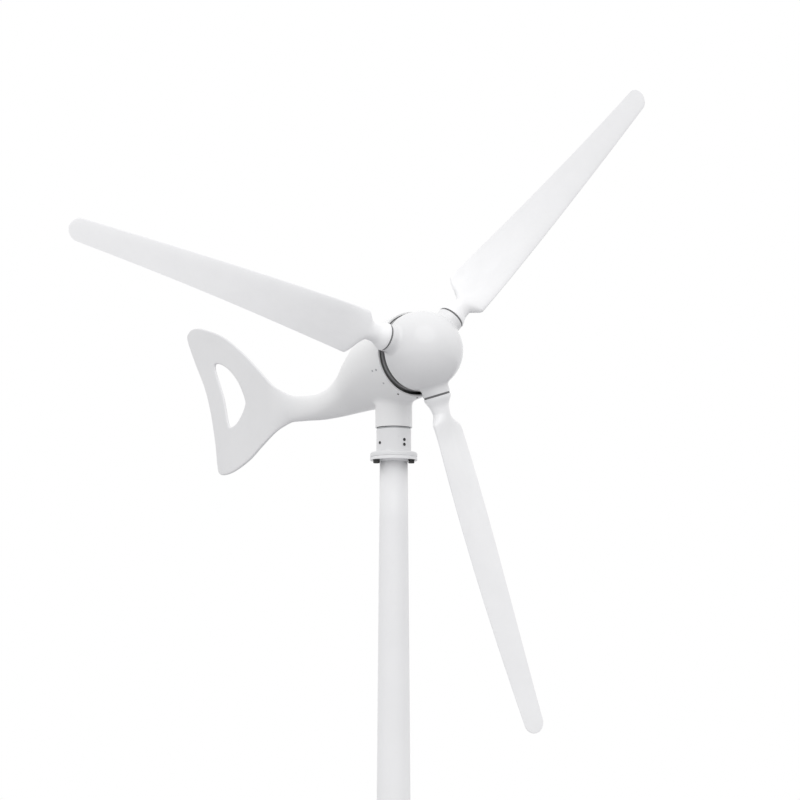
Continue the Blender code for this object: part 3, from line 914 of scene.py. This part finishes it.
def build_nacelle_screws(black, steel):
    """Black screws under the rim and bright ones on its flanks, which hold the generator."""
    add_nacelle_screws("nacelle_screws_black", black, RIM_SCREWS)
    bright = [(180.0 + below, behind) for below, behind in FLANK_SCREWS]
    bright += [(360.0 - below, behind) for below, behind in FLANK_SCREWS]
    add_nacelle_screws("nacelle_screws_steel", steel, bright)


def build_stator(dark):
    """Front of the generator: a rim, a recessed ring and a raised block for each winding."""
    front = -STATOR_LOW.y
    back = -STATOR_HIGH.y
    outer = STATOR_HIGH.x
    bm = bmesh.new()
    corners = [(STATOR_BORE, back, 0.0), (outer, back, 0.0), (outer, front, 0.0012),
               (outer - 0.010, front, 0.0010), (outer - 0.013, front - 0.004, 0.0010),
               (0.050, front - 0.004, 0.0010), (0.046, front - 0.001, 0.0010),
               (STATOR_BORE, front - 0.001, 0.0008)]
    add_turned(bm, corners, 144, TO_NOSE)
    block = [(BLOCK_INNER, -0.0028), (BLOCK_OUTER, -0.0042),
             (BLOCK_OUTER, 0.0042), (BLOCK_INNER, 0.0028)]
    for i in range(STATOR_BLOCKS):
        turn = Matrix.Rotation(2.0 * math.pi * i / STATOR_BLOCKS, 4, "Z")
        add_prism(bm, block, front - 0.0041, front - 0.0022, 0.0007, TO_NOSE @ turn)
    mesh_object("stator_ring", bm, dark, "nacelle", ["generator_stator"])


# ---- Tail fin ----
def fin_outlines():
    """The fin's edge from the housing's seam round to the seam again, and the edge of its hole."""
    edge = [p for p in spline(FIN_TOP + FIN_TIP + FIN_BACK + FIN_BOTTOM, 24)
            if p.x > TAIL_SEAM_Y + 0.002]
    top, bottom, _ = section_at(np.array([TAIL_SEAM_Y]))[0]
    lift_top = top - edge[0].y
    lift_bottom = bottom - edge[-1].y
    for p in edge:
        share = 1.0 - smooth_step((p.x - TAIL_SEAM_Y) / FIN_JOIN_LENGTH)
        p.y += share * (lift_top if p.y > BOOM_MIDDLE_Z else lift_bottom)
    edge = [Vector((TAIL_SEAM_Y, top))] + edge + [Vector((TAIL_SEAM_Y, bottom))]
    return edge, spline(FIN_HOLE, 20, True)


def even_spacing(points, spacing, closed):
    line = points + [points[0]] if closed else points
    array = np.array([(p.x, p.y) for p in line])
    along_line = np.concatenate([[0.0], np.cumsum(np.hypot(*np.diff(array, axis=0).T))])
    count = max(int(round(along_line[-1] / spacing)), 4)
    stations = np.linspace(0.0, along_line[-1], count + 1)
    if closed:
        stations = stations[:-1]
    return np.column_stack([np.interp(stations, along_line, array[:, k]) for k in range(2)])


def distance_to_line(points, line, closed):
    """Distance from each point to a line of straight pieces."""
    ends = np.roll(line, -1, axis=0) if closed else line[1:]
    starts = line if closed else line[:-1]
    best = np.full(len(points), 1e9)
    for start, end in zip(starts, ends):
        side = end - start
        share = np.clip(((points - start) @ side) / (side @ side), 0.0, 1.0)
        best = np.minimum(best, np.hypot(*(points - start - share[:, None] * side).T))
    return best


def inset(line, depth, closed):
    """The line moved to its left by a depth."""
    if closed:
        tangent = np.roll(line, -1, axis=0) - np.roll(line, 1, axis=0)
    else:
        tangent = np.gradient(line, axis=0)
    tangent /= np.hypot(*tangent.T)[:, None]
    return line + depth * np.column_stack([-tangent[:, 1], tangent[:, 0]])


def area_of(line):
    following = np.roll(line, -1, axis=0)
    return 0.5 * np.sum(line[:, 0] * following[:, 1] - following[:, 0] * line[:, 1])


def depth_in_fin(points, edge, hole):
    """Distance from each point to the nearest edge of the fin."""
    return np.minimum(distance_to_line(points, edge, False), distance_to_line(points, hole, True))


def build_fin(material):
    """Fin plate with rounded edges that swells into the boom where the housing ends."""
    edge, hole = fin_outlines()
    edge = even_spacing(edge, 0.006, False)
    hole = even_spacing(hole, 0.005, True)
    if area_of(edge) < 0.0:
        edge = edge[::-1]
    if area_of(hole) > 0.0:
        hole = hole[::-1]
    seam_z = np.linspace(edge[-1, 1], edge[0, 1], 13)[1:-1]
    seam = np.column_stack([np.full(11, TAIL_SEAM_Y), seam_z])
    rim = np.vstack([edge, seam])
    layers = [0.0009, 0.0022, 0.0040, 0.0065]
    inner = [inset(edge, depth, False)[1:-1] for depth in layers]
    inner += [inset(hole, depth, True) for depth in layers]
    grid_y, grid_z = np.meshgrid(np.arange(TAIL_SEAM_Y + 0.006, 1.19, 0.010),
                                 np.arange(-0.22, 0.24, 0.010))
    grid = np.column_stack([grid_y.ravel(), grid_z.ravel()])
    grid = grid[depth_in_fin(grid, edge, hole) > 0.0105]
    points = np.vstack([rim, hole] + inner + [grid])
    borders = [(start + i, start + (i + 1) % count) for start, count
               in ((0, len(rim)), (len(rim), len(hole))) for i in range(count)]
    made = delaunay_2d_cdt([Vector(p) for p in points], borders, [], 2, 1e-7)
    flat = np.array([(p.x, p.y) for p in made[0]])
    half = fin_half_thickness(flat, depth_in_fin(flat, edge, hole), edge)
    keep = [f for f in made[2] if inside(flat[list(f)].mean(axis=0), rim)
            and not inside(flat[list(f)].mean(axis=0), hole)]
    bm = bmesh.new()
    left, right = ([bm.verts.new((sign * h, y, HUB.z + z)) for (y, z), h in zip(flat, half)]
                   for sign in (-1.0, 1.0))
    for face in keep:
        bm.faces.new([left[i] for i in face])
        bm.faces.new([right[i] for i in reversed(face)])
    counted = Counter(frozenset(pair) for face in keep for pair in zip(face, face[1:] + face[:1]))
    for (i, j), times in counted.items():
        if times == 1:
            bm.faces.new((left[i], left[j], right[j], right[i]))
    loose = [v for v in bm.verts if not v.link_faces]
    bmesh.ops.delete(bm, geom=loose, context="VERTS")
    bmesh.ops.recalc_face_normals(bm, faces=bm.faces)
    mesh_object("tail_fin_plate", bm, material, "nacelle", ["tail_fin"], 50.0)


def inside(point, line):
    """Whether a point is inside a closed line."""
    following = np.roll(line, -1, axis=0)
    crosses = (line[:, 1] > point[1]) != (following[:, 1] > point[1])
    rise = np.where(crosses, following[:, 1] - line[:, 1], 1.0)
    at = line[:, 0] + (point[1] - line[:, 1]) * (following[:, 0] - line[:, 0]) / rise
    return bool(np.count_nonzero(crosses & (at > point[0])) % 2)


def fin_half_thickness(flat, depth, edge):
    """Half thickness: a rounded edge on the plate, and the boom's oval section near the seam."""
    near_edge = np.clip(depth / FIN_EDGE_ROUND, 0.0, 1.0)
    plate = FIN_THICK / 2.0 * (0.22 + 0.78 * np.sqrt(1.0 - (1.0 - near_edge) ** 2))
    front = edge[edge[:, 0] < FIN_FRONT_END]
    upper = front[:, 1] > BOOM_MIDDLE_Z
    top, bottom = (np.interp(flat[:, 0], *line[np.argsort(line[:, 0])].T)
                   for line in (front[upper], front[~upper]))
    seam_wide = section_at(np.array([TAIL_SEAM_Y]))[0, 2]
    across = np.clip((flat[:, 1] - (top + bottom) / 2.0) / ((top - bottom) / 2.0), -1.0, 1.0)
    boom = seam_wide * np.sqrt(1.0 - across ** 2)
    share = smooth_step((flat[:, 0] - TAIL_SEAM_Y) / FIN_SWELL_LENGTH)
    return boom * (1.0 - share) + plate * share


# ---- Rotor ----
def blade_frame(number):
    """Frame of a blade: X out along the blade, Y to its trailing edge, Z towards the nose."""
    angle = math.radians(FIRST_BLADE_DEG + number * 360.0 / BLADE_COUNT)
    cone = math.radians(CONE_DEG)
    nose = Vector((0.0, -1.0, 0.0))
    outward = Vector((math.sin(angle), 0.0, math.cos(angle)))
    radial = outward * math.cos(cone) + nose * math.sin(cone)
    trailing = Vector((-math.cos(angle), 0.0, math.sin(angle)))
    matrix = Matrix((radial, trailing, radial.cross(trailing))).transposed().to_4x4()
    matrix.translation = HUB
    return matrix


def blade_axis(number):
    """Frame of a blade with Z out along the blade."""
    return blade_frame(number) @ Matrix.Rotation(math.pi / 2.0, 4, "Y")


def grown(radius, growth):
    start, length = growth
    return smooth_step((radius - start) / length)


def blade_section(radius):
    """Leading offset, trailing offset, half thickness and how far the section is an aerofoil."""
    share = radius / ROTOR_RADIUS
    lead, trail = (a + b * share + c * share ** 2 for a, b, c in (BLADE_LEAD, BLADE_TRAIL))
    thick = 0.0095 - 0.0062 * share
    neck = BLADE_NECK_RADIUS
    past_foot = max(radius - SOCKET_END - 0.006, 0.0)
    foot = (BLADE_FOOT_RADIUS - neck) * math.exp(-(past_foot / 0.018) ** 2)
    foot_lead = foot * (BLADE_FOOT_RADIUS - BLADE_NECK_LEAD) / (BLADE_FOOT_RADIUS - neck)
    lead = BLADE_NECK_LEAD + (lead - BLADE_NECK_LEAD) * grown(radius, LEAD_GROWTH) + foot_lead
    trail = neck + (trail - neck) * grown(radius, TRAIL_GROWTH) + foot
    flat = grown(radius, FLAT_GROWTH)
    thick = neck + (thick - neck) * flat + foot
    tip_start = ROTOR_RADIUS - TIP_LENGTH
    if radius > tip_start:
        shrink = math.sqrt(max(1.0 - ((radius - tip_start) / (1.002 * TIP_LENGTH)) ** 2, 0.0))
        lead = lead * shrink
        trail = trail * shrink
        thick = thick * max(shrink, 0.3)
    return lead, trail, thick, flat


def blade_pitch(radius):
    outboard = (radius - PITCH_FALL_START) / (ROTOR_RADIUS - PITCH_FALL_START)
    outboard = min(max(outboard, 0.0), 1.0)
    return math.radians(ROOT_PITCH_DEG) * (1.0 - outboard) ** 2.2 * grown(radius, PITCH_GROWTH)


def blade_ring(radius, count=72):
    lead, trail, thick, flat = blade_section(radius)
    pitch = blade_pitch(radius)
    ring = []
    for i in range(count):
        angle = 2.0 * math.pi * i / count
        chordwise = math.cos(angle)
        chord = lead * chordwise if chordwise > 0.0 else trail * chordwise
        place = (1.0 - chordwise) / 2.0
        foil = 2.6 * (math.sqrt(place) - place) * (1.0 - 0.35 * place)
        up = math.sin(angle)
        side = 0.85 if up >= 0.0 else -1.15
        height = thick * ((1.0 - flat) * up + flat * side * foil)
        across = chord * math.cos(pitch) - height * math.sin(pitch)
        toward_nose = chord * math.sin(pitch) + height * math.cos(pitch)
        ring.append(Vector((radius, -across, toward_nose)))
    return ring


def build_blades(material):
    foot = SOCKET_END + GASKET_THICK + 2.0 * GAP
    tip_start = ROTOR_RADIUS - TIP_LENGTH
    radii = list(np.linspace(foot, 0.240, 60, endpoint=False))
    radii += list(np.linspace(0.240, tip_start, 70, endpoint=False))
    radii += [tip_start + TIP_LENGTH * math.sin(math.pi / 2.0 * i / 16) for i in range(17)]
    for number in range(BLADE_COUNT):
        bm = bmesh.new()
        add_rings(bm, [blade_ring(radius) for radius in radii])
        bm.transform(blade_frame(number))
        bmesh.ops.recalc_face_normals(bm, faces=bm.faces)
        mesh_object(f"blade_moulding_{number + 1}", bm, material, "rotor",
                    [f"blade_{number + 1}"], 55.0)


def build_gaskets(material):
    """Flat ring between each socket and its blade's foot."""
    for number in range(BLADE_COUNT):
        bm = bmesh.new()
        start = SOCKET_END + GAP
        add_collar(bm, (GASKET_BORE, SOCKET_RADIUS - GASKET_RECESS),
                   (start, start + GASKET_THICK), 96, blade_axis(number), (0.0004, 0.0004))
        mesh_object(f"blade_gasket_ring_{number + 1}", bm, material, "rotor",
                    [f"blade_gasket_{number + 1}"])


def spinner_distance(points):
    """Signed distance to the spinner: a round nose, a short skirt and the blades' sockets."""
    x = points[:, 0]
    y = points[:, 1] - SPINNER_EQUATOR_Y
    z = points[:, 2] - HUB.z
    result = np.sqrt(x * x + np.minimum(y, 0.0) ** 2 + z * z) - SPINNER_RADIUS
    for number in range(BLADE_COUNT):
        matrix = blade_frame(number)
        offset = points - np.array(matrix.translation)
        axis = np.array(matrix.col[0][:3])
        reach = offset @ axis
        away = np.sqrt(np.maximum((offset ** 2).sum(axis=1) - reach ** 2, 1e-12))
        arm = np.maximum(away - SOCKET_RADIUS, -reach)
        result = smooth_min(result, arm, SOCKET_BLEND)
    return result


def build_spinner(material):
    rough = bmesh.new()
    equator = -SPINNER_EQUATOR_Y
    back = equator - SKIRT_DEPTH
    corners = [(CORE_RADIUS, back, 0.0), (SPINNER_RADIUS, back, 0.0)]
    for step in range(24):
        angle = step * math.pi / 48.0
        height = equator + SPINNER_RADIUS * math.sin(angle)
        corners.append((SPINNER_RADIUS * math.cos(angle), height, 0.0))
    corners.append((CORE_RADIUS, equator + SPINNER_RADIUS, 0.0))
    add_turned(rough, corners, 96, TO_NOSE)
    for number in range(BLADE_COUNT):
        add_collar(rough, (CORE_RADIUS, SOCKET_RADIUS), (0.04, SOCKET_END + ROUGH_MARGIN), 48,
                   blade_axis(number))
    bm = skin(rough, spinner_distance, SPINNER_VOXEL)
    cut(bm, (0.0, SPINNER_BACK_Y, HUB.z), (0.0, 1.0, 0.0))
    for number in range(BLADE_COUNT):
        matrix = blade_frame(number)
        axis = Vector(matrix.col[0][:3])
        cut(bm, HUB + axis * SOCKET_END, axis, lambda p: (p - HUB).dot(axis) > CUT_REACH)
    bmesh.ops.recalc_face_normals(bm, faces=bm.faces)
    shell = mesh_object("spinner_shell", bm, material, "rotor", ["spinner"])
    thicken(shell, SPINNER_WALL)


# ---- Whole turbine ----
def dress(node, material):
    """Give a CAD piece that shows as packed its material."""
    for item in frame["nodes"][node].material_slots:
        item.link = "DATA"
        item.material = material


def main():
    add_camera()
    add_world()
    add_stage()
    add_key_light()

    mast_paint = paint("mast_paint", (0.86, 0.86, 0.87), 0.30, 0.42)
    nacelle_paint = paint("nacelle_paint", (0.86, 0.86, 0.865), 0.26, 0.38,
                          tail=((0.785, 0.785, 0.795), 0.25, TAIL_SEAM_Y))
    housing_paint = paint("housing_paint", (0.80, 0.80, 0.81), 0.26, 0.38)
    fin_paint = paint("fin_paint", (0.80, 0.80, 0.81), 0.36, 0.48)
    spinner_paint = paint("spinner_paint", (0.80, 0.80, 0.81), 0.12, 0.18, 260.0, 0.03)
    blade_plastic = moulded_blade()
    steel = brushed_steel()
    cast = gritty("cast_metal", (0.5, 0.9), 30.0, ((0.62, 0.63, 0.64), (0.48, 0.49, 0.50)),
                  (500.0, 6.0, 0.7), (0.35, 0.0006), (0.42, 0.62))
    dark = gritty("dark_metal", (0.5, 0.5), 40.0, ((0.40, 0.40, 0.405), (0.50, 0.50, 0.505)),
                  (350.0, 5.0, 0.65), (0.25, 0.0005), (0.42, 0.60))
    black = gritty("black_oxide", (0.4, 0.7), 120.0, ((0.028, 0.028, 0.030), (0.060, 0.058, 0.056)),
                   (700.0, 4.0), (0.2, 0.0003), (0.33, 0.50))
    rubber = gritty("rubber", (0.75, 0.0), 50.0, ((0.14, 0.14, 0.143), (0.20, 0.20, 0.203)),
                    (800.0, 4.0), (0.3, 0.0003), (0.66, 0.85))

    build_base_plate(mast_paint)
    build_anchor_bolts(steel)
    build_gussets(mast_paint)
    build_welds(mast_paint)
    build_mast_tube(mast_paint)
    build_mast_flange(mast_paint)
    build_flange_bolts(black)
    build_yaw_housing(housing_paint)
    build_yaw_details(black, cast)
    dress("yaw_spindle", steel)

    build_nacelle(nacelle_paint)
    build_nacelle_screws(black, steel)
    build_stator(dark)
    build_fin(fin_paint)

    build_spinner(spinner_paint)
    build_gaskets(rubber)
    build_blades(blade_plastic)
    dress("rotor_shaft", steel)
    dress("rotor_hub", cast)


main()
